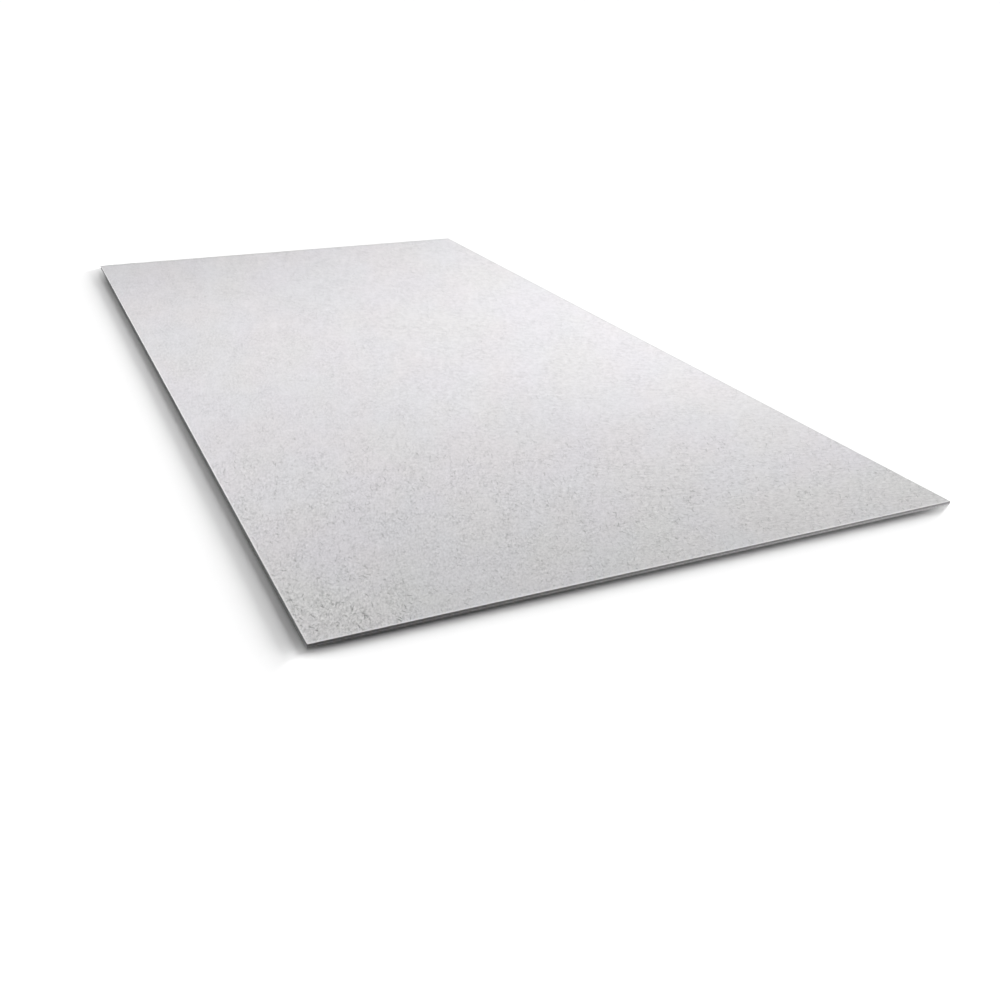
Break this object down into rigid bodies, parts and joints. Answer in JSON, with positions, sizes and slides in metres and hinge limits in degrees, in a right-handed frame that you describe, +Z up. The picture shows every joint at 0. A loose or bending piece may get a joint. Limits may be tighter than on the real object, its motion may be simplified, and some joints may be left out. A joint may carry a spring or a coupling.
{
  "type": "fiber cement floor board",
  "caption": "Flat rectangular fiber cement sheet with trimmed square edges and lightly eased arrises, laid over joists or a subfloor as a floor or tile underlay.",
  "frame": {"origin": "centre of the underside, on the plane the sheet lies on", "axes": "+X across the sheet, +Y along its length, +Z up through its thickness to the top face"},
  "size_m": [1.2, 2.4, 0.006],
  "materials": {
    "fiber_cement": "matt pale grey pressed face with a fine mottled fiber grain and small dark flecks; trimmed edges darker and rougher"
  },
  "bodies": {
    "root": {"board": "fiber_cement"}
  },
  "joints": []
}
